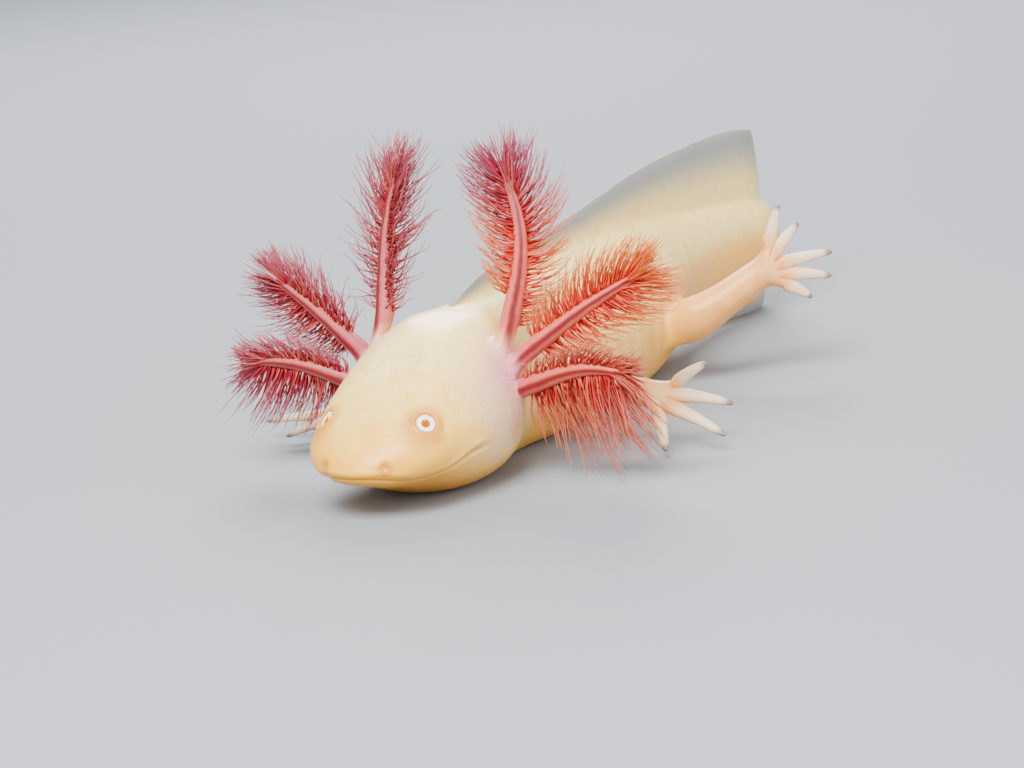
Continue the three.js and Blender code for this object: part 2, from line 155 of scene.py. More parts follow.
def section(at):
    """Half width, height of the widest level, and reach above and below it."""
    half, top, under = (smooth(BODY, column, at) for column in (1, 2, 3))
    waist = under + (top - under) * WIDEST
    return half, waist, top - waist, waist - under


def width_at(at, height):
    half, waist, over, below = section(at)
    rise = (height - waist) / (over if height > waist else below)
    return half * max(0, 1 - abs(rise) ** ROUNDNESS) ** (1 / ROUNDNESS)


def power(value, exponent):
    return math.copysign(abs(value) ** exponent, value)


def round_place(at, row):
    """A row's regular place on the ring: how far to the left and how high."""
    half, waist, over, below = section(at)
    angle = 2 * math.pi * (row + 0.5) / SIDES
    across = power(math.cos(angle), 2 / ROUNDNESS)
    rise = power(math.sin(angle), 2 / ROUNDNESS)
    reach = over if rise > 0 else below
    return half * across / RING_SHRINK, waist + reach * rise / RING_SHRINK


def other_side(row):
    return (13 - row) % SIDES


LIP, CREASE, LOWER_LIP = 25, 24, 23
CREASE_DEPTH, JAW_INSET, LIP_GAP, JAW_DROP = 0.85, 0.35, 0.1, 0.75
CHIN_SHARES = {22: 0.62, 21: 0.22}
MOUTH_BACK = 14


def mouth_place(at, row, left, height):
    """Rows by the mouth follow its line: a lip, the crease under it and a lower lip set in."""
    parted = 1 - ease(at, -4, 3)
    held = 1 - ease(at, -1, 7)
    line = smooth(MOUTH, 1, at)
    level = {LIP: line, CREASE: line - LIP_GAP, LOWER_LIP: line - JAW_DROP}.get(row)
    if level is None:
        # The chin's two rows spread evenly below the lower lip.
        low = smooth(BODY, 3, at)
        share = CHIN_SHARES[row]
        edge = width_at(at, line - JAW_DROP) - JAW_INSET * parted
        return (left + (edge * share - left) * held,
                height + (low + (line - JAW_DROP - low) * share ** 2.4 - height) * held)
    inset = {LIP: 0, CREASE: CREASE_DEPTH, LOWER_LIP: JAW_INSET}[row] * parted
    wide = width_at(at, max(level, smooth(BODY, 3, at) + 0.3)) - inset
    return left + (wide - left) * held, height + (level - height) * held


FIRST_GROOVE, GROOVE_SPACING, GROOVE_COUNT, GROOVE_DEPTH = 50, 5.4, 13, 0.6


def ring_place(at, row):
    """Where a row of the ring at a place along the spine lies, as left and height."""
    mirrored = row if row >= BELLY_ROW or row <= BACK_ROW else other_side(row)
    side = 1 if mirrored == row else -1
    left, height = round_place(at, mirrored)
    if at < MOUTH_BACK and BELLY_ROW <= mirrored <= LIP:
        left, height = mouth_place(at, mirrored, left, height)
    # The grooves between the ribs run up the flank and fade out above and below.
    behind = at - FIRST_GROOVE
    if -1 < behind < GROOVE_SPACING * GROOVE_COUNT and (mirrored >= 24 or mirrored <= 4):
        deep = 0.5 + 0.5 * math.cos(2 * math.pi * behind / GROOVE_SPACING)
        flank = math.sin(math.pi * ((mirrored + 4.5) % SIDES) / 9.5)
        left -= GROOVE_DEPTH * (deep - 0.35) * flank
    return side * left, max(height, 0)


def added(name, primitive, **settings):
    """A new object of a simple kind, which alone is selected."""
    bpy.ops.object.select_all(action="DESELECT")
    primitive(**settings)
    piece = bpy.context.object
    piece.name = piece.data.name = name
    return piece


SNOUT_COLUMNS, SNOUT_LEVELS = 5, 9

skin = added("skin", bpy.ops.mesh.primitive_grid_add,
             x_subdivisions=SNOUT_COLUMNS, y_subdivisions=SNOUT_LEVELS, size=1)
bpy.ops.object.mode_set(mode="EDIT")

cage = bmesh.from_edit_mesh(skin.data)
cage.verts.layers.int.new("row")
for name in ("at", "limb", "digit", "fin", "gill", "gill_number"):
    cage.verts.layers.float.new(name)


def layer(name):
    kinds = bmesh.from_edit_mesh(skin.data).verts.layers
    return kinds.int.get(name) or kinds.float.get(name)


def pull_out(place):
    """Extrudes what is selected and lays each of its points where place says."""
    bpy.ops.mesh.extrude_region_move(TRANSFORM_OT_translate={"value": (0, 0, 0)})
    cage = bmesh.from_edit_mesh(skin.data)
    for vert in cage.verts:
        if vert.select:
            place(vert)
    cage.normal_update()
    bmesh.update_edit_mesh(skin.data)


def snout_depth(left, height):
    """The place along the spine where the snout's surface passes a point seen from the front."""
    near, far = SNOUT, SNOUT_RIM
    for _ in range(24):
        middle = (near + far) / 2
        if width_at(middle, height) > abs(left):
            far = middle
        else:
            near = middle
    return far


def snout_place(share, level):
    """The snout's front: share is -1 to 1 from right to left, level 0 to 9 from lower lip to brow."""
    lip_rim = smooth(MOUTH, 1, SNOUT_RIM)
    brow_rim = round_place(SNOUT_RIM, (LOWER_LIP + SNOUT_LEVELS) % SIDES)[1]
    climb = max(0, (level - 2) / 7) ** 0.9
    wide = width_at(SNOUT_RIM, lip_rim + (brow_rim - lip_rim) * climb)
    left = share * wide / RING_SHRINK
    depth = SNOUT_RIM
    for _ in range(4):
        line = smooth(MOUTH, 1, depth)
        height = line + (brow_rim - line) * climb
        depth = snout_depth(left * 0.985, height) if abs(share) < 1 else SNOUT_RIM
    inset = {0: JAW_INSET, 1: CREASE_DEPTH}.get(level, 0)
    inward = Vector((-left, 3 - depth)).normalized() * inset
    drop = {0: JAW_DROP, 1: LIP_GAP}.get(level, 0)
    return left + inward.x, depth + inward.y, height - drop


row_layer, at_layer = layer("row"), layer("at")
for vert in cage.verts:
    column = round((vert.co.x + 0.5) * SNOUT_COLUMNS)
    level = round((vert.co.y + 0.5) * SNOUT_LEVELS)
    if column == SNOUT_COLUMNS:
        row = (LOWER_LIP + level) % SIDES
    elif column == 0:
        row = other_side(LOWER_LIP + level)
    elif level == SNOUT_LEVELS:
        row = 9 - column
    else:
        row = 18 + column
    vert[row_layer], vert[at_layer] = row, SNOUT_RIM
    left, depth, height = snout_place(2 * column / SNOUT_COLUMNS - 1, level)
    vert.co = spot(left, depth, height)

ARM_STATIONS = [38.6, 41.2, 43.8, 46.4, 49.0]
LEG_STATIONS = [93.4, 96.0, 98.6, 101.2, 103.8, 106.4]
GILL_BAND = [22.6, 27.2]
STATIONS = (
    [-5.4, -3.6, -1.5, 0.7, 3, 5.4, 8, 10.8, 13.8, 16.8, 19.8] + GILL_BAND + [29, 31, 34, 36.4]
    + ARM_STATIONS + [50 + 2.7 * i for i in range(1, 16)] + LEG_STATIONS
    + [109, 111.8, 114.4, 117] + [120 + 5 * i for i in range(8)] + [158 + 3.8 * i for i in range(11)]
    + [201, 208, 215, 222, 229, 235, 239]
)
bpy.ops.mesh.select_mode(type="EDGE")
bpy.ops.mesh.select_all(action="DESELECT")
for edge in cage.edges:
    edge.select = edge.is_boundary
bmesh.update_edit_mesh(skin.data)
for at in STATIONS:
    def place(vert):
        vert.co = beside(at, *ring_place(at, vert[layer("row")]))
        vert[layer("at")] = at

    pull_out(place)
bpy.ops.mesh.edge_face_add()
bpy.ops.mesh.poke()

# ---------------------------------------------------------------- skin: fins
# A low fin runs along the back from the neck and on round the tail, and a lower one under the
# tail. Each is pulled out of the skin's middle strip in three steps that thin towards its edge.

UPPER_EDGE = [(28, 28.6), (40, 32.2), (52, 34.0), (83, 36.4), (119, 40.0), (150, 41.2), (165, 39.4),
              (180, 36.2), (195, 30.6), (215, 20.2), (230, 13.8), (240, 8.8)]
LOWER_EDGE = [(124, 5.0), (136, 2.4), (160, 0.9), (200, 1.0), (222, 2.4), (240, 6.8)]
FIN_STEPS = [(0.22, 1.35), (0.6, 0.85), (1.0, 0.42)]
NEARLY = 0.01


def faces_outward():
    """The last step in edit mode."""
    bpy.ops.mesh.select_all(action="SELECT")
    bpy.ops.mesh.normals_make_consistent(inside=False)
    bpy.ops.object.mode_set(mode="OBJECT")


def select_faces(chosen):
    """Selects the faces for which chosen says yes."""
    bpy.ops.mesh.select_mode(type="FACE")
    bpy.ops.mesh.select_all(action="DESELECT")
    cage = bmesh.from_edit_mesh(skin.data)
    for face in cage.faces:
        if chosen(face):
            face.select_set(True)
    bmesh.update_edit_mesh(skin.data)


def reach_of(face):
    """Where a face starts and ends along the spine."""
    at_layer = layer("at")
    places = [vert[at_layer] for vert in face.verts]
    return min(places), max(places)


def within(face, rows, start, end):
    """Whether a face lies in the rows, between two places along the spine."""
    row_layer = layer("row")
    first, last = reach_of(face)
    return (all(vert[row_layer] in rows for vert in face.verts)
            and start - NEARLY <= first and last <= end + NEARLY)


def grow_fin(edge, body_column, rows, start):
    """Pulls a fin out of the strip between two rows, from start to the tip of the tail."""
    right = max(rows) if body_column == 2 else min(rows)

    def strip(face):
        first, last = reach_of(face)
        return len(face.verts) == 4 and first < last and within(face, rows, start, STATIONS[-1])

    select_faces(strip)
    for rise, thick in FIN_STEPS:
        def place(vert):
            row_layer, at_layer, fin_layer = layer("row"), layer("at"), layer("fin")
            at = vert[at_layer]
            root, free = smooth(BODY, body_column, at), smooth(edge, 1, at)
            side = -1 if vert[row_layer] == right else 1
            slim = min(1, smooth(BODY, 1, at) / 5)
            wave = 0.5 * rise * math.sin(at / 9) * ease(at, 120, 150)
            vert.co = beside(at, side * thick * slim + wave, max(root + (free - root) * rise, 0.2))
            vert[fin_layer] = rise

        pull_out(place)


grow_fin(UPPER_EDGE, 2, (BACK_ROW, 7), 31)
grow_fin(LOWER_EDGE, 3, (20, BELLY_ROW), 124)

# ---------------------------------------------------------------- skin: legs, hands and feet
# Each leg is pulled out of a patch on the flank, two faces high and as long as it has digits.
# It rounds off, turns with the wrist, flattens into a palm, and every pair of faces is a digit.

# Stations and rows of its patch, side, joints as share, place and radius, and the tips of its
# digits from rear to front.
LIMBS = [
    (ARM_STATIONS, (27, 0, 1), 1,
     [(0, 8, 44, 14, 4.6), (0.5, 19.5, 47.5, 12.6, 3.4), (1, 29.6, 49, 9.8, 2.7)],
     [(40.4, 51.5, 15.2), (44.8, 52.0, 7.6), (45.6, 45.8, 3.2), (36.6, 39.2, 1.7)]),
    (ARM_STATIONS, (27, 0, 1), -1,
     [(0, -8, 44, 13, 4.6), (0.5, -20, 49, 11, 3.4), (1, -30, 46, 6, 2.7)],
     [(-42.5, 50.5, 0.6), (-48.8, 44, 3.6), (-41.4, 38.4, 2.2), (-33.6, 34.4, 0.6)]),
    (LEG_STATIONS, (26, 27, 0), 1,
     [(0, 5, 102, 11.4, 5.0), (0.5, 17.6, 97.6, 12.8, 4.3), (1, 29.5, 105, 20.6, 3.1)],
     [(32.6, 108.5, 33.4), (36, 110, 29.6), (42, 111.6, 23.6), (42, 110.6, 19), (38.6, 108, 15.2)]),
    (LEG_STATIONS, (26, 27, 0), -1,
     [(0, -4, 102, 11, 5.2), (0.5, -19, 100.4, 9, 4.3), (1, -28, 110.5, 4.4, 3.0)],
     [(-31, 126, 0.6), (-36.8, 124.6, 0.6), (-42, 120, 0.6), (-43.4, 113.4, 0.6), (-39.2, 107.4, 0.6)]),
]
LIMB_SHARES = [0.27, 0.36, 0.44, 0.5, 0.56, 0.66, 0.8, 0.93, 1.0]
FLANK_GAP, ROOT_SLIM = 1.2, 0.86
PALM_STEPS = [(0.13, 1.25, 0.78), (0.28, 1.62, 0.58)]
DIGIT_STEPS = [(0.1, 1.4), (0.3, 1.22), (0.55, 1.0), (0.8, 0.74), (0.94, 0.52), (1.0, 0.26)]
LIMB_SWELL, DIGIT_SWELL = 1.05, 1.2
KNUCKLE_RISE = 0.8


def square_to(along, way):
    """What is left of a way across along, one long."""
    return (way - along * way.dot(along)).normalized()


def curve_point(table, share):
    """The point at a share of a smooth curve, in millimetres."""
    return Vector([smooth(table, column, share) for column in (1, 2, 3)])


def square_to_round(across, over):
    return across * math.sqrt(1 - over * over / 2), over * math.sqrt(1 - across * across / 2)


def grow_limb(stations, rows, side, joints, tips):
    """Pulls a leg out of its patch to the wrist, flattens the palm and pulls out the digits."""
    count = len(stations) - 1
    tips = [Vector(tip) for tip in tips]
    fan = (tips[-1] - tips[0]).normalized()
    if side < 0:
        rows = tuple(other_side(row) for row in rows)

    def shares(vert):
        """Place in the patch: -1 at the rear to 1 at the front, and -1 low to 1 high."""
        station = min(range(count + 1), key=lambda i: abs(stations[i] - vert[layer("at")]))
        return 1 - 2 * station / count, rows.index(vert[layer("row")]) - 1

    def axes(along, turned):
        across = square_to(along, Vector((0, -1, 0)).lerp(fan, turned))
        return across, side * across.cross(along)

    def ring(middle, across, over, note, share, corner=shares):
        """Pulls what is selected on to a rounded ring, whose half axes are across and over."""
        def place(vert):
            a, b = square_to_round(*corner(vert))
            vert.co = spot(*(middle + across * a + over * b))
            vert[layer(note)] = share

        pull_out(place)

    select_faces(lambda face: within(face, rows, stations[0], stations[-1]))
    for share in LIMB_SHARES:
        middle = curve_point(joints, share)
        # The first ring lies clear of the flank.
        if abs(middle.x) < smooth(BODY, 1, middle.y) + FLANK_GAP:
            continue
        along = curve_point(joints, min(share + 0.02, 1)) - curve_point(joints, share - 0.02)
        across, over = axes(along.normalized(), ease(share, 0.25, 1))
        slim = ROOT_SLIM + (1 - ROOT_SLIM) * ease(share, 0.3, 0.5)
        radius = smooth(joints, 4, share) * LIMB_SWELL * slim
        ring(middle, across * radius, over * radius, "limb", share)

    wrist = curve_point(joints, 1)
    onward, radius = sum(tips, Vector()) / len(tips) - wrist, joints[-1][4]
    across, over = axes(onward.normalized(), 1)
    for share, wide, deep in PALM_STEPS:
        palm = wrist + onward * share
        ring(palm, across * radius * wide, over * radius * deep, "limb", 1 + share)

    for number, tip in enumerate(tips):
        here = 2 * (number + 0.5) / count - 1
        base = palm + across * here * radius * PALM_STEPS[-1][1] * 0.9
        knuckle = (base + tip) / 2 + Vector((0, 0, KNUCKLE_RISE))

        def pad(face):
            first, last = reach_of(face)
            on_cap = all(vert[layer("limb")] > 1 + PALM_STEPS[-1][0] - NEARLY
                         and vert[layer("digit")] == 0 for vert in face.verts)
            return (on_cap and first < last
                    and within(face, rows, stations[count - 1 - number], stations[count - number])
                    and (side > 0) == (face.calc_center_median().x > HERE.x))

        def corner(vert):
            rear, high = shares(vert)
            return 1 if rear > here else -1, high

        select_faces(pad)
        for share, thick in DIGIT_STEPS:
            near, far = base.lerp(knuckle, share), knuckle.lerp(tip, share)
            along = (far - near).normalized()
            wide = square_to(along, across) * thick * DIGIT_SWELL
            ring(near.lerp(far, share), wide, side * wide.cross(along), "digit", share, corner)


for limb in LIMBS:
    grow_limb(*limb)

# ---------------------------------------------------------------- skin: gill stalks
# Three stalks rise behind each cheek out of three faces that lie one above the other. They taper
# and bend as the gills do, and carry the filaments on both sides.

# Root, middle and tip of each stalk, the way its filaments open, and the row under its face.
GILLS = {
    "gill_top_left": ((13, 25.4, 22.5), (15.6, 30.5, 42), (9.8, 34.5, 58.5), (0.86, 0.5, 0), 2),
    "gill_middle_left": ((12.4, 25.4, 19.2), (27.5, 30, 30), (41, 33.5, 37.5), (-0.45, -0.12, 0.87), 1),
    "gill_low_left": ((12.4, 24.6, 15), (28.5, 23.6, 20.2), (40.5, 22.5, 19.6), (0, -0.15, 1), 0),
    "gill_top_right": ((-11, 25.6, 23), (-11.8, 31, 42), (-9.2, 34.5, 58), (-0.86, 0.5, 0), 10),
    "gill_middle_right": ((-12.4, 25.4, 19.2), (-27, 30, 28.5), (-40, 33, 36), (0.45, -0.12, 0.87), 11),
    "gill_low_right": ((-12.4, 24.6, 15), (-28, 23.6, 20), (-41, 22.5, 20.4), (0, -0.15, 1), 12),
}
STALK_SHARES = [0.13, 0.2, 0.3, 0.4, 0.5, 0.6, 0.7, 0.79, 0.86]
STALK_SWELL = 1.06
STALK_TIP, STALK_FLARE = 0.55, 1.55


def stalk_point(gill, share):
    return curve_point([(0.5 * i, *GILLS[gill][i]) for i in range(3)], share)


def stalk_radius(share):
    return STALK_TIP + STALK_FLARE * (1 - share) ** 1.1


def stalk_frame(gill, share):
    """The way along a stalk, the way its filaments open, and the way its flat side faces."""
    ahead, behind = stalk_point(gill, min(share + 0.02, 1)), stalk_point(gill, max(share - 0.02, 0))
    along = (ahead - behind).normalized()
    spread = square_to(along, Vector(GILLS[gill][3]))
    return along, spread, along.cross(spread)


def grow_stalk(gill, number):
    """Pulls a stalk out of its face, square at first and rounded when the skin is smoothed."""
    rows = (GILLS[gill][4], GILLS[gill][4] + 1)

    def seat(face):
        return within(face, rows, *GILL_BAND) and all(vert[layer("gill")] == 0 for vert in face.verts)

    select_faces(seat)
    cage = bmesh.from_edit_mesh(skin.data)
    corners = [vert for vert in cage.verts if vert.select]
    middle = sum((vert.co for vert in corners), Vector()) / len(corners)
    along = stalk_frame(gill, 0.15)[0]
    rear_axis = square_to(along, Vector((0, 1, 0)))
    up_axis = along.cross(rear_axis)
    top = max(corners, key=lambda vert: vert.co.z)
    if (top.co - middle).dot(up_axis) < 0:
        up_axis = -up_axis
    high_row = top[layer("row")]
    for share in STALK_SHARES:
        centre_line = stalk_point(gill, share)
        along = stalk_frame(gill, share)[0]
        back = square_to(along, rear_axis)
        lift = (up_axis - along * up_axis.dot(along) - back * up_axis.dot(back)).normalized()
        reach = stalk_radius(share) * STALK_SWELL

        def place(vert):
            a = 1 if vert[layer("at")] > GILL_BAND[0] + 1 else -1
            b = 1 if vert[layer("row")] == high_row else -1
            vert.co = spot(*(centre_line + (back * a + lift * b) * reach))
            vert[layer("gill")], vert[layer("gill_number")] = share, number

        pull_out(place)


for number, gill in enumerate(GILLS):
    grow_stalk(gill, number)

faces_outward()
bpy.ops.object.modifier_add(type="SUBSURF")
skin.modifiers["Subdivision"].levels = skin.modifiers["Subdivision"].render_levels = 2
bpy.ops.object.modifier_apply(modifier="Subdivision")
bpy.ops.object.shade_smooth()

# ---------------------------------------------------------------- skin: folds and pits
# The face gets closer points, and then its soft detail: the mouth, the orbits round the eyes, the
# nostrils, the lobes of the crown, the jaw muscles and the fold between throat and neck.

EYES = {"eye_left": 1, "eye_right": -1}
EYE_RADIUS = 2.15
EYE_AXIS = Vector((0.557, -0.557, 0.616)).normalized()
NOSTRIL = (5.6, -8.2, 9.9)
JAW_MUSCLE, GILL_ARCH = (14.5, 12, 12), (8.5, 30.5, 27.5)


def eye_line(side):
    """Centre of an eye and the way it looks, in millimetres."""
    here = (centre("eye_left" if side > 0 else "eye_right") - HERE) / MM
    return here, Vector(on_side(EYE_AXIS, side))


def on_side(place, side):
    """A place of the left side, or the same one on the right."""
    return side * place[0], place[1], place[2]


def closer_points(chosen):
    """Halves along each edge the faces for whose middle chosen says yes."""
    bpy.ops.object.mode_set(mode="EDIT")
    select_faces(lambda face: chosen((face.calc_center_median() - HERE) / MM))
    bpy.ops.mesh.subdivide(number_cuts=1, smoothness=1)
    bpy.ops.object.mode_set(mode="OBJECT")


FACE_SPOTS = [eye_line(side)[0] for side in (1, -1)]
FACE_SPOTS += [Vector(on_side(NOSTRIL, side)) for side in (1, -1)]
closer_points(lambda middle: middle.y < 26 and abs(middle.x) < 17.5 and middle.z > 0.2)
closer_points(lambda middle: min((middle - place).length for place in FACE_SPOTS) < 4.6)


def read(name):
    """One number for each point of the skin."""
    values = np.empty(len(skin.data.vertices))
    skin.data.attributes[name].data.foreach_get("value", values)
    return values


def write(mesh, name, values):
    """One number for each point of a mesh."""
    mesh.attributes.new(name, "FLOAT", "POINT").data.foreach_set("value", np.array(values, np.float32))


def step(values, low, high):
    """0 at low and 1 at high, smooth between."""
    t = np.clip((values - low) / (high - low), 0, 1)
    return t * t * (3 - 2 * t)


def hill(distance, width):
    """1 at no distance, falling off softly over the width."""
    return np.exp(-(distance / width) ** 2)


def away_from(place, side):
    """How far each point of the skin is from a place on one side."""
    return np.linalg.norm(points - np.array(on_side(place, side)), axis=1)


points, normals = (np.empty((len(skin.data.vertices), 3)) for _ in range(2))
skin.data.vertices.foreach_get("co", points.ravel())
skin.data.vertex_normals.foreach_get("vector", normals.ravel())
points = (points - np.array(HERE)) / MM
at = read("at")
bare = (read("limb") < 0.05) & (read("gill") < 0.05) & (read("fin") < 0.05)
lift = np.zeros(len(points))
x, y, z = points.T

# Two lobes on the crown have a shallow valley between them.
crown = step(y, 0, 9) * (1 - step(y, 22, 30)) * step(z, 17, 24)
lift += crown * (0.35 * hill(np.abs(x) - 5.5, 3.0) - 0.3 * hill(x, 2.0))
# The jaw muscles bulge behind and below the eyes, and the gill arches behind the top gills.
for side in (1, -1):
    lift += 0.45 * hill(away_from(JAW_MUSCLE, side), 5.0)
    lift += 0.8 * hill(away_from(GILL_ARCH, side), 3.3)
# The fold between throat and neck runs up to the gills on both sides.
lift -= 0.55 * hill(at - 30.2, 0.9) * (1 - step(z, 14, 20))
# Low swells all over keep the flanks and the back from being even.
swell = np.array([noise.noise(Vector(point) / 7) for point in points])
lift += 0.14 * swell * step(at, 8, 30) * (1 - read("fin"))
# The mouth's crease is pressed in under a fuller upper lip and ends behind the eye.
line = np.array([smooth(MOUTH, 1, place) for place in y])
mouth = bare * (1 - step(y, 8.5, 12.5)) * step(-np.abs(normals[:, 2]), -0.97, -0.9)
lip_line = hill((z - line + 0.1) / (0.3 + 0.1 * step(y, 1, 5)), 1) * mouth
points += normals * (lift * bare)[:, None]
lips = (0.2 * hill(z - line - 0.9, 0.55) + 0.14 * hill(z - line + 1.0, 0.5)) * mouth
lips -= (0.1 + 0.45 * step(y, -3, 4)) * lip_line
outward = np.stack([x, np.minimum(y - 6, 0), np.zeros(len(points))], axis=1)
outward /= np.maximum(np.linalg.norm(outward, axis=1), 0.01)[:, None]
points += outward * lips[:, None]

for side in (1, -1):
    middle, axis = map(np.array, eye_line(side))
    offset = points - middle
    out = offset @ axis
    away = np.linalg.norm(offset - np.outer(out, axis), axis=1)
    near = (np.linalg.norm(offset, axis=1) < 7) & bare
    # The eye sits in a low mound; its rim is a thin raised lid round a hollow for the eyeball.
    points[near] += np.outer((0.3 * hill(away, 4.2) + 0.16 * hill(away - 2.2, 0.33))[near], axis)
    # A fold runs round the eye below and behind it.
    back = np.array((0.0, 0.75, -0.66))
    turned = (offset @ back) / np.maximum(np.linalg.norm(offset, axis=1), 0.01)
    points[near] -= np.outer((0.24 * hill(away - 3.3, 0.35) * step(turned, 0.0, 0.6))[near], axis)
    hollow = near & (away < 1.95) & (out > 0)
    sunk = 1 - step(away, 1.62, 1.9)
    points[hollow] -= np.outer((1.5 * sunk)[hollow], axis)
    # Each nostril is a small pit in a raised ring.
    away = away_from(NOSTRIL, side)
    ring = 0.12 * hill(away - 1.0, 0.3) - 0.34 * hill(away, 0.42)
    points += normals * (ring * (away < 3))[:, None]

points[:, 2] = np.maximum(points[:, 2], 0)
skin.data.vertices.foreach_set("co", (points * MM + np.array(HERE)).ravel())
skin.data.update()

# Where the colour follows the form: the mouth's crease, and how far a point of a gill stalk lies
# to the side of the vessel that runs down its middle.
gill_share = read("gill")
beside_vessel = np.full(len(points), 9.0)
for index in np.nonzero(gill_share > 0.02)[0]:
    place, share = Vector(points[index]), float(gill_share[index])
    near = min(GILLS, key=lambda stalk: (place - stalk_point(stalk, share)).length)
    sideways = (place - stalk_point(near, share)).dot(stalk_frame(near, share)[1])
    beside_vessel[index] = sideways / stalk_radius(share)
write(skin.data, "beside_vessel", beside_vessel)
write(skin.data, "lip_line", lip_line)

# ---------------------------------------------------------------- skin: colour
# A golden albino: cream skin without black, warm at the snout, lips and throat and pinker
# towards the gills, with pale granules on the cheeks and clear grey fins. Painted shade darkens
# the folds round the eyes and the mouth, and the gill stalks where the light is low.


def tone(red, green, blue):
    """A colour as it is seen, 0 to 255, as the light that it sends back."""
    return tuple((part / 255) ** 2.2 for part in (red, green, blue)) + (1,)


class Paint:
    """A socket of a material. Sums on it add Math nodes, and add() makes any other node."""

    def __init__(self, tree, socket=None):
        self.tree, self.socket = tree, socket

    def add(self, kind, settings=None, inputs=None, out=0):
        node = self.tree.nodes.new(kind)
        for name, value in (settings or {}).items():
            setattr(node, name, value)
        for name, value in (inputs or {}).items():
            if isinstance(value, Paint):
                self.tree.links.new(value.socket, node.inputs[name])
            else:
                node.inputs[name].default_value = value
        return Paint(self.tree, node.outputs[out] if node.outputs else None)

    def math(self, operation, *values):
        return self.add("ShaderNodeMath", {"operation": operation}, dict(enumerate(values)))

    def __add__(self, other):
        return self.math("ADD", self, other)

    def __sub__(self, other):
        return self.math("SUBTRACT", self, other)

    def __rsub__(self, other):
        return self.math("SUBTRACT", other, self)

    def __mul__(self, other):
        return self.math("MULTIPLY", self, other)

    def __abs__(self):
        return self.math("ABSOLUTE", self)

    __radd__, __rmul__ = __add__, __mul__

    def step(self, low, high):
        """0 at low and 1 at high, smooth between."""
        return self.add("ShaderNodeMapRange", {"interpolation_type": "SMOOTHSTEP"},
                        {"Value": self, "From Min": low, "From Max": high})

    def mix(self, other, share):
        """This colour, and share of another over it."""
        return self.add("ShaderNodeMix", {"data_type": "RGBA"}, {0: share, 6: self, 7: other}, 2)

    def under(self, *layers):
        """This colour under layers, each a colour and its share."""
        colour = self
        for tint, share in layers:
            colour = colour.mix(tint, share)
        return colour

    def colour(self, value):
        return self.add("ShaderNodeMix", {"data_type": "RGBA"}, {0: 0.0, 6: value, 7: value}, 2)

    def attribute(self, name):
        return self.add("ShaderNodeAttribute", {"attribute_name": name}, out=2)

    def place(self, scale=1.0):
        """The place on the animal in millimetres from HERE, times scale."""
        over = self.add("ShaderNodeTexCoord", out="Object")
        return self.add("ShaderNodeMapping", None, {
            "Vector": over, "Location": tuple(-part / MM * scale for part in HERE),
            "Scale": (scale / MM,) * 3})

    def noise(self, scale, detail=2.0, roughness=0.5):
        """Soft noise, with scale lumps to a millimetre."""
        return self.add("ShaderNodeTexNoise", None, {"Vector": self.place(scale), "Scale": 1.0,
                                                     "Detail": detail, "Roughness": roughness})


def empty_material(name):
    material = bpy.data.materials.new(name)
    material.use_nodes = True
    material.node_tree.nodes.clear()
    return material, Paint(material.node_tree)


def finish(name, looks, bump=None, depth=0.0):
    """A material of one shader: looks gives its sockets, and bump raises its surface."""
    material, start = empty_material(name)
    sockets = looks(start)
    if bump:
        sockets["Normal"] = start.add("ShaderNodeBump", None, {
            "Height": bump(start), "Distance": depth * MM, "Strength": 1.0})
    shader = start.add("ShaderNodeBsdfPrincipled", None, sockets)
    start.add("ShaderNodeOutputMaterial", None, {"Surface": shader})
    return material


EYE_PLACE = tuple(eye_line(1)[0])
CHEEK_SPOT, GRANULE_SPOT, GILL_ROOT = (14, 18, 15), (14.4, 15.5, 15.5), (13.5, 25, 19.5)
ARCH_SPOT, BEFORE_EYE, MOUTH_CORNER = (9.0, 32, 26), (9.0, -1.4, 13.4), (15.4, 21, 10.5)
CREAM, CROWN, SNOUT_GOLD = tone(247, 206, 108), tone(246, 216, 138), tone(245, 174, 34)
THROAT, CHEEK, GILL_BASE = tone(230, 146, 40), tone(230, 184, 152), tone(214, 126, 146)
TRUNK, FLANK, FIN_GREY = tone(243, 214, 134), tone(236, 158, 32), tone(124, 136, 144)
LIMB_PINK, LIMB_GOLD, TOE_PALE = tone(236, 184, 122), tone(230, 142, 58), tone(226, 202, 168)
TOE_TIP, LIP_CREASE_SHADE, ORBIT_SHADE = tone(84, 72, 70), tone(190, 96, 26), tone(208, 130, 24)
STALK_PINK, STALK_MAUVE_SHADE, VESSEL = tone(200, 64, 70), tone(160, 50, 78), tone(116, 0, 20)
ORBIT_FOLD_SHADE, NOSTRIL_GOLD, GRANULE = tone(204, 130, 0), tone(214, 136, 0), tone(255, 255, 252)


def skin_places(start):
    """How far back and up the skin is, and a measure of how far it is from a spot on either side."""
    place = start.place()
    x, y, z = (start.add("ShaderNodeSeparateXYZ", None, {0: place}, part) for part in range(3))
    folded = start.add("ShaderNodeCombineXYZ", None, {0: abs(x), 1: y, 2: z})

    def away(spot):
        return folded.add("ShaderNodeVectorMath", {"operation": "DISTANCE"}, {0: folded, 1: spot}, 1)

    return y, z, away


def granules(start):
    """Tiny pale grains, thick on the cheek behind the eye and thinning out round it."""
    y, z, away = skin_places(start)
    cells = start.add("ShaderNodeTexVoronoi", None, {"Vector": start.place(2.1), "Scale": 1.0})
    grain = 1 - cells.step(0.2, 0.4)
    gate = start.noise(0.9).step(0.4, 0.52)
    area = (1 - away(GRANULE_SPOT).step(5.5, 12)) * away(EYE_PLACE).step(2.8, 4.5)
    return grain * gate * area


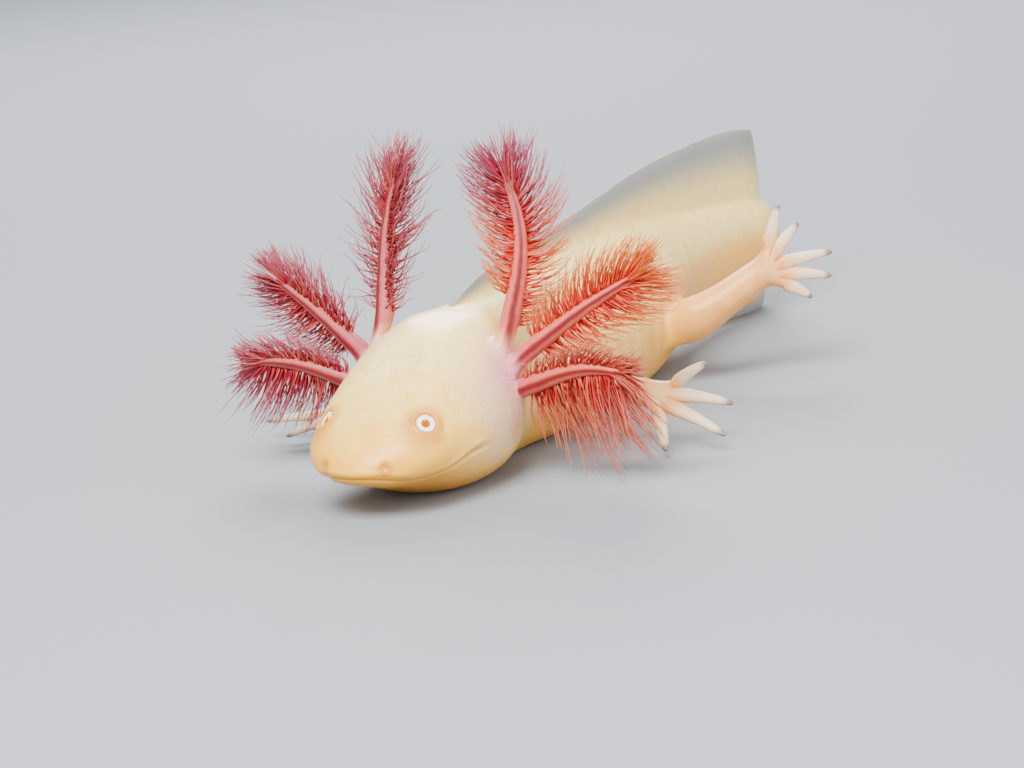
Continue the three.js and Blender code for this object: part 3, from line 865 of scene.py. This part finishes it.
def skin_looks(start):
    y, z, away = skin_places(start)
    soft, patches = start.noise(0.16, 3.0), start.noise(0.42, 3.0)
    at, fin, limb = start.attribute("at"), start.attribute("fin"), start.attribute("limb")
    digit, gill, number = (start.attribute(name) for name in ("digit", "gill", "gill_number"))
    trunk, stalk, orbit = at.step(28, 40), gill.step(0.0, 0.14), away(EYE_PLACE)
    low_front = (1 - y.step(-6, 17)) * (1 - (z + soft * 6).step(12, 23))
    # How much painted shade the stalks get: the right ones evenly, the top left one over its outer half.
    shade_share = number.step(2.4, 2.6) * 0.85 + (1 - number.step(0.4, 0.6)) * gill.step(0.45, 0.8) * 0.8
    vessel = 1 - abs(start.attribute("beside_vessel") + patches * 0.3 - 0.15).step(0.1, 0.55)
    colour = start.colour(CREAM).under(
        (CROWN, z.step(17, 24) * (1 - y.step(26, 34))),
        (SNOUT_GOLD, low_front * 0.95),
        (SNOUT_GOLD, patches.step(0.46, 0.7) * (1 - y.step(4, 26)) * 0.45),
        (THROAT, (1 - z.step(2, 9)) * (1 - y.step(34, 60)) * 0.75),
        (CHEEK, (1 - away(CHEEK_SPOT).step(4, 12)) * 0.8),
        (TRUNK, trunk * 0.9),
        (FLANK, trunk * (1 - (z + soft * 10).step(12, 26)) * 0.85),
        (FLANK, trunk * patches.step(0.52, 0.7) * 0.3),
        (FLANK, at.step(80, 125) * (1 - abs(z - 14).step(2.5, 9)) * 0.75),
        (GILL_BASE, (1 - away(GILL_ROOT).step(2, 10.5)) * 0.9),
        # Painted shade in a warm tan: faint behind the gill arch's hump at the top stalk, in a ring
        # round the eye, before the eye and at the mouth's corner.
        (ORBIT_SHADE, (1 - away(ARCH_SPOT).step(1.0, 5.5)) * 0.2),
        (ORBIT_SHADE, (1 - orbit.step(2.2, 4.6)) * 0.8),
        (ORBIT_SHADE, (1 - away(BEFORE_EYE).step(1.6, 5.2)) * 0.75),
        (ORBIT_SHADE, (1 - away(MOUTH_CORNER).step(1.0, 4.2)) * 0.5),
        # Painted shade along the fold below the eye.
        (ORBIT_FOLD_SHADE, (1 - abs(orbit - 3.8).step(0.12, 0.8)) * (1 - z.step(12.2, 14.4)) * 0.85),
        (NOSTRIL_GOLD, (1 - away(NOSTRIL).step(0.7, 2.0)) * 0.9),
        # Painted shade in the mouth's crease, stronger towards the back.
        (LIP_CREASE_SHADE, start.attribute("lip_line") * (0.3 + y.step(-6, 5) * 0.3)),
        (GRANULE, granules(start)),
        # Limbs are pinker with gold patches, most on the hind legs, and pale toes with dusky tips.
        (LIMB_PINK, limb.step(0.34, 0.9) * 0.85),
        (LIMB_GOLD, limb.step(0.4, 0.9) * patches.step(0.4, 0.64) * 0.6),
        (LIMB_GOLD, limb.step(0.15, 0.6) * y.step(70, 84) * 0.5),
        (TOE_PALE, digit.step(0.05, 0.5) * 0.9),
        (TOE_TIP, digit.step(0.8, 0.97) * 0.85),
        (FIN_GREY, fin.step(0.1, 0.85) * 0.85),
        # Stalks of the gills: flesh pink, with a purplish painted shade on the right ones and on the top
        # left one's outer half, where the light is low, and a red vessel.
        (start.colour(STALK_PINK).mix(STALK_MAUVE_SHADE, shade_share), stalk * 0.9),
        (VESSEL, vessel * gill.step(0.01, 0.12) * 0.96))
    return {"Base Color": colour, "Roughness": 0.38 + fin * 0.1, "Alpha": 1 - fin.step(0.2, 1.0) * 0.3,
            "Subsurface Weight": 0.3, "Subsurface Radius": (1.0, 0.55, 0.35), "Subsurface Scale": 0.0011,
            "Specular IOR Level": 0.35, "Coat Weight": 0.12, "Coat Roughness": 0.2}


def skin_relief(start):
    grain = start.noise(2.6, 3.0) * 0.35 + start.noise(0.8, 2.0) * 0.6
    return grain + granules(start) * 1.6


skin.data.materials.append(finish("golden_albino_skin", skin_looks, skin_relief, 0.14))
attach(skin, "root")
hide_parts(*[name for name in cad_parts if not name.startswith(("eye", "gill"))])

# ---------------------------------------------------------------- eyes
# Each eyeball is a ball with a flat, silvery iris round an orange pupil, for an albino has no black
# in its eyes. A clear cornea domes over the iris. There are no lids: the skin just meets the ball.

IRIS_LEVEL, IRIS_RADIUS, PUPIL_RADIUS = 1.17, 1.62, 0.78
# The ball's rings are spread so that this share of them lies in front, within FRONT_RADIUS.
FRONT_SHARE, FRONT_RADIUS, BACK_ANGLE = 0.6, 1.95, 0.36 * math.pi
BALL_SET_BACK, CORNEA_RADIUS, CORNEA_BACK = 0.24, 1.9, 0.12
BEHIND = 9.0
EYE_WHITE, IRIS_SILVER, IRIS_FLECK = tone(232, 170, 140), tone(250, 250, 246), tone(214, 140, 104)
PUPIL_RIM, PUPIL, IRIS_PAINTED_GLOW = tone(236, 164, 30), tone(120, 66, 0), tone(255, 206, 70)
PUPIL_PAINTED_GLOW, DARK = tone(190, 122, 0), (0, 0, 0, 1)


def eye_piece(name, side, shape):
    """A ball whose points shape moves in millimetres, its pole towards where the eye looks."""
    piece = added(name, bpy.ops.mesh.primitive_uv_sphere_add,
                  segments=40, ring_count=40, radius=EYE_RADIUS * MM)
    middle, axis = eye_line(side)
    turned = axis.to_track_quat("Z", "Y").to_matrix()
    bpy.ops.object.mode_set(mode="EDIT")
    ball = bmesh.from_edit_mesh(piece.data)
    reach = ball.verts.layers.float.new("from_axis")
    for vert in ball.verts:
        place = shape(vert.co / MM)
        vert[reach] = math.hypot(place.x, place.y) if place.z > 0 else BEHIND
        vert.co = spot(*(middle + turned @ place))
    bmesh.update_edit_mesh(piece.data)
    faces_outward()
    bpy.ops.object.shade_smooth()
    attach(piece, "root")
    return piece


def polar_angle(place):
    return math.acos(max(-1, min(1, place.z / EYE_RADIUS)))


def turned_like(place, reach, height):
    """The point at a reach from the axis and a height along it, on the same side as place."""
    turn = math.atan2(place.y, place.x)
    return Vector((reach * math.cos(turn), reach * math.sin(turn), height))


def eyeball(place):
    """The iris is flat, sinks a little towards the middle and is hollow at the pupil."""
    share = polar_angle(place) / math.pi
    if share < FRONT_SHARE:
        reach = FRONT_RADIUS * share / FRONT_SHARE
        if reach < IRIS_RADIUS:
            deep = 0.3 * (1 - ease(reach, PUPIL_RADIUS - 0.1, PUPIL_RADIUS + 0.08))
            height = IRIS_LEVEL - 0.1 * ease(reach, 0.7, 1.4) - deep
        else:
            height = math.sqrt(EYE_RADIUS ** 2 - reach ** 2) - BALL_SET_BACK
    else:
        polar = BACK_ANGLE + (math.pi - BACK_ANGLE) * (share - FRONT_SHARE) / (1 - FRONT_SHARE)
        reach, height = EYE_RADIUS * math.sin(polar), EYE_RADIUS * math.cos(polar)
    return turned_like(place, reach, height)


def cornea(place):
    """The dome over the iris, closed behind by a shallower dome."""
    polar = polar_angle(place)
    reach = CORNEA_RADIUS * math.sin(polar)
    height = math.sqrt(EYE_RADIUS ** 2 - reach ** 2)
    if polar >= math.pi / 2:
        height -= CORNEA_BACK * (1 - reach / CORNEA_RADIUS)
    return turned_like(place, reach, height)


def eye_looks(start):
    off, fleck = start.attribute("from_axis"), start.noise(5.0, 3.0)
    in_iris, past_pupil = 1 - off.step(1.5, 1.66), off.step(0.8, 0.95)
    colour = start.colour(EYE_WHITE).under(
        (IRIS_SILVER, in_iris),
        (IRIS_FLECK, fleck.step(0.5, 0.75) * off.step(1.15, 1.6) * 0.5),
        (PUPIL_RIM, 1 - past_pupil),
        (PUPIL, 1 - off.step(0.66, 0.82)))
    # A painted glow: the pupil and the inner edge of the iris give off orange and yellow light of their own.
    painted_glow = start.colour(DARK).under((IRIS_PAINTED_GLOW, 1 - off.step(0.86, 1.05)),
                                    (PUPIL_PAINTED_GLOW, 1 - off.step(0.66, 0.84)))
    return {"Base Color": colour, "Roughness": 0.5 - in_iris * past_pupil * 0.15, "Specular IOR Level": 0.08,
            "Emission Color": painted_glow, "Emission Strength": 0.9}


def clear_dome(name):
    """Clear tissue: what is behind shows through, and only the gloss is its own."""
    material, start = empty_material(name)
    edge = start.add("ShaderNodeLayerWeight", None, {"Blend": 0.35}, 1)
    clear = start.add("ShaderNodeBsdfTransparent")
    gloss = start.add("ShaderNodeBsdfPrincipled", None, {
        "Base Color": (1, 1, 1, 1), "Roughness": 0.04, "Specular IOR Level": 1.0, "Metallic": 1.0})
    mixed = start.add("ShaderNodeMixShader", None, {0: edge * edge * 0.3, 1: clear, 2: gloss})
    start.add("ShaderNodeOutputMaterial", None, {"Surface": mixed})
    return material


eye_finish, cornea_finish = finish("silver_iris_painted_glow", eye_looks), clear_dome("clear_cornea")
for name, side in EYES.items():
    ball = eye_piece(name + "_ball", side, eyeball)
    ball.data.materials.append(eye_finish)
    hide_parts(name)
    dome = eye_piece(name + "_cornea", side, cornea)
    dome.data.materials.append(cornea_finish)

# ---------------------------------------------------------------- gill filaments
# Both edges of each stalk carry soft red filaments, as a feather does its barbs. They grow finer
# and lean towards the tip, where they close in a tuft. One is modelled and copied along the stalks.

FILAMENT_SIDES, FILAMENT_STEPS = 5, 9
FILAMENT_ROOT, FILAMENT_END = 0.19, 0.05
# For each edge, how far the fringe reaches, its lean at the root, and the share it starts at.
FRINGES = {
    "gill_top_left": ((9.6, 9.4), (0.1, 0.1), (0.12, 0.24)),
    "gill_middle_left": ((8.4, 9.8), (0.2, 0.1), (0.2, 0.2)),
    "gill_low_left": ((4.8, 14.5), (0.3, -0.25), (0.16, 0.16)),
    "gill_top_right": ((10.2, 10.4), (0.1, 0.1), (0.16, 0.16)),
    "gill_middle_right": ((7.8, 9.6), (0.2, 0.1), (0.24, 0.24)),
    "gill_low_right": ((5.4, 10.0), (0.3, -0.05), (0.2, 0.2)),
}
ROW_COUNT, TUFT_COUNT = 170, 76
FRINGE_END, TUFT_START, TUFT_SPAN = 0.9, 0.68, 0.18
SHORT_TUFTS = {"gill_top_right": 0.75}
# How much painted shade, wine to violet, the filaments get where the light is low: the top left
# gill over its outer half, the others evenly.
MAUVE_SHADE = {"gill_middle_left": 0.0, "gill_low_left": 0.55}
RIGHT_MAUVE_SHADE = 0.95
PATCH, MARGIN = 0.003, 0.02

template = added("template", bpy.ops.mesh.primitive_circle_add,
                 vertices=FILAMENT_SIDES, radius=1, fill_type="NGON")
bpy.ops.object.mode_set(mode="EDIT")
for _ in range(FILAMENT_STEPS):
    bpy.ops.mesh.extrude_region_move(TRANSFORM_OT_translate={"value": (0, 0, 1 / FILAMENT_STEPS)})
bpy.ops.mesh.merge(type="CENTER")
faces_outward()
template_points = np.array([vert.co[:] for vert in template.data.vertices])
template_faces = [list(face.vertices) for face in template.data.polygons]
bpy.data.objects.remove(template)


def barb(base, way, curl, length, wobble, phase):
    """One filament as points: it leaves base along way and bends to curl, waving a little."""
    share = template_points[:, 2]
    way, curl = np.array(way), np.array(curl)
    third = np.cross(way, curl)
    third /= max(np.linalg.norm(third), 1e-6)
    wave = wobble * np.sin(share * 6 + phase) * share
    ripple = 0.6 * wobble * np.sin(share * 10 + 2 * phase) * share
    path = (np.array(base) + np.outer(length * share * (1 - 0.15 * share), way)
            + np.outer(length * 0.42 * share ** 2 + ripple, curl) + np.outer(wave, third))
    along = way + 0.8 * np.outer(share, curl)
    along /= np.linalg.norm(along, axis=1)[:, None]
    over = np.cross(along, third)
    thick = FILAMENT_ROOT + (FILAMENT_END - FILAMENT_ROOT) * share ** 0.8
    wide, deep = (template_points[:, axis] * thick for axis in (0, 1))
    return path + over * wide[:, None] + third * deep[:, None]


def swollen(grown):
    """The fringe swells soon after its root and closes over the tip."""
    return math.sin(math.pi * min(1, grown * 0.86 + 0.12)) ** 0.55


def filaments(gill, chance):
    """Base, way, curl, length, wobble and phase of each filament, and its share along the stalk."""
    droop = Vector((0, 0, -1))
    for edge, reach, lean, bare in zip((1, -1), *FRINGES[gill]):
        for number in range(ROW_COUNT):
            grown = (number + chance.random()) / ROW_COUNT
            share = bare + (FRINGE_END - bare) * grown ** 0.9
            along, spread, face = stalk_frame(gill, share)
            seat = stalk_point(gill, share) + spread * edge * stalk_radius(share) * 0.8
            seat += face * chance.uniform(-0.5, 0.5) * stalk_radius(share)
            pitch = lean + chance.gauss(0, 0.13) + 1.0 * grown ** 2.2
            way = (spread * edge * math.cos(pitch) + along * math.sin(pitch)
                   + face * chance.gauss(0, 0.28)).normalized()
            curl = (along * (0.35 + 0.5 * grown) + face * chance.gauss(0, 0.3)
                    + droop * (0.5 if gill.startswith("gill_low") and edge < 0 else 0.0)).normalized()
            length = reach * swollen(grown * 0.92) * chance.uniform(0.7, 1.24)
            yield seat, way, curl, length, chance.uniform(0.25, 0.85), chance.uniform(0, 6.3), share
    for number in range(TUFT_COUNT):
        share = TUFT_START + TUFT_SPAN * (number / TUFT_COUNT) ** 0.6
        along, spread, face = stalk_frame(gill, share)
        turn = chance.uniform(0, 2 * math.pi)
        outward = spread * math.cos(turn) + face * 0.6 * math.sin(turn)
        open_out = chance.uniform(0.12, 0.75)
        way = (along + outward * open_out).normalized()
        seat = stalk_point(gill, share) + outward * stalk_radius(share) * 0.6
        left = (stalk_point(gill, 1) - stalk_point(gill, share)).length
        length = left * chance.uniform(0.85, 1.2) * SHORT_TUFTS.get(gill, 1)
        curl = (outward * 0.3 + along * 0.2).normalized()
        yield seat, way, curl, length * 0.95, chance.uniform(0.1, 0.4), chance.uniform(0, 6.3), share


BLOOD, ORANGE, WINE_SHADE, VIOLET_SHADE = tone(196, 34, 14), tone(234, 122, 46), tone(138, 12, 34), tone(160, 66, 92)
PALE_TINT, DARK_TINT = tone(228, 130, 84), tone(128, 8, 20)


def filament_looks(start):
    """Blood-red at the root, paler to the tip; orange on the near side, and a painted shade of wine to
    violet where the light is low.
    """
    out, tint, shade_share = (start.attribute(name) for name in ("along", "tint", "shade_share"))
    warm = start.colour(BLOOD).mix(ORANGE, out.step(0.1, 0.9))
    # Painted shade where the light is low, wine at the root to violet at the tip.
    painted_shade = start.colour(WINE_SHADE).mix(VIOLET_SHADE, out.step(0.05, 0.8))
    colour = warm.under((painted_shade, shade_share), (PALE_TINT, tint.step(0.6, 1.0) * 0.35),
                        (DARK_TINT, (1 - tint.step(0.0, 0.35)) * (1 - out) * 0.6))
    return {"Base Color": colour, "Roughness": 0.45, "Specular IOR Level": 0.3,
            "Alpha": 1 - out.step(0.3, 1.0) * 0.25}


filament_finish = finish("gill_filament", filament_looks)
for order, gill in enumerate(GILLS):
    chance = random.Random(41 + order)
    blocks, faces, uv, notes = [], [], [], {"along": [], "tint": [], "shade_share": []}
    for seat, *growth, share in filaments(gill, chance):
        first = len(blocks) * len(template_points)
        blocks.append(barb(seat, *growth))
        faces += [[first + corner for corner in face] for face in template_faces]
        _, spread, face = stalk_frame(gill, share)
        offset = seat - stalk_point(gill, share)
        turn = math.atan2(offset.dot(face), offset.dot(spread)) / (2 * math.pi) % 1
        tint = chance.random()
        # The share of painted shade for this gill's filaments.
        painted_shade = ease(share, 0.4, 0.7) if gill == "gill_top_left" else MAUVE_SHADE.get(gill, RIGHT_MAUVE_SHADE)
        for here in template_points:
            notes["along"].append(here[2])
            notes["tint"].append(tint)
            notes["shade_share"].append(painted_shade)
            uv.append((MARGIN + (1 - 2 * MARGIN) * turn + PATCH * here[0] / 2,
                       MARGIN + (1 - 2 * MARGIN) * share + PATCH * (here[2] - 0.5)))
    coat = np.concatenate(blocks)
    coat[:, 2] = np.maximum(coat[:, 2], 0.1)
    mesh = bpy.data.meshes.new(gill + "_filaments")
    mesh.from_pydata((coat * MM + np.array(HERE)).tolist(), [], faces)
    piece = bpy.data.objects.new(mesh.name, mesh)
    bpy.context.collection.objects.link(piece)
    for name, values in notes.items():
        write(mesh, name, values)
    bake = mesh.uv_layers.new(name="OFBake")
    for loop in mesh.loops:
        bake.data[loop.index].uv = uv[loop.vertex_index]
    mesh.shade_smooth()
    mesh.materials.append(filament_finish)
    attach(piece, "root")
    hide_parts(gill)

# ---------------------------------------------------------------- floor and light
# A plain grey floor runs far back. A wide lamp high on the left of the camera lights the face, a
# second fills in from the right, and one behind shines through the gills and along the back.

floor = added("floor", bpy.ops.mesh.primitive_plane_add, size=30, location=(0, 0, 0))
floor.data.materials.append(finish("pale_floor", lambda start: {
    "Base Color": (0.26, 0.28, 0.30, 1), "Roughness": 0.75, "Specular IOR Level": 0.2}))

LAMPS = [
    # name, place and size in metres, power in watts
    ("key", (0.10, -0.62, 0.75), 0.5, 25.0),
    ("fill", (0.75, -0.25, 0.35), 0.6, 5.5),
    ("back", (-0.35, 0.65, 0.55), 0.4, 12.0),
]
for name, place, size, watts in LAMPS:
    lamp = bpy.data.objects.new(name, bpy.data.lights.new(name, "AREA"))
    lamp.data.energy, lamp.data.size = watts, size
    lamp.location = place
    lamp.rotation_euler = (Vector((0, 0, 0.02)) - lamp.location).to_track_quat("-Z", "Y").to_euler()
    bpy.context.collection.objects.link(lamp)
world = bpy.data.worlds.new("studio")
bpy.context.scene.world = world
world.use_nodes = True
sky = world.node_tree.nodes["Background"].inputs
sky["Color"].default_value, sky["Strength"].default_value = (0.93, 0.95, 1, 1), 0.9
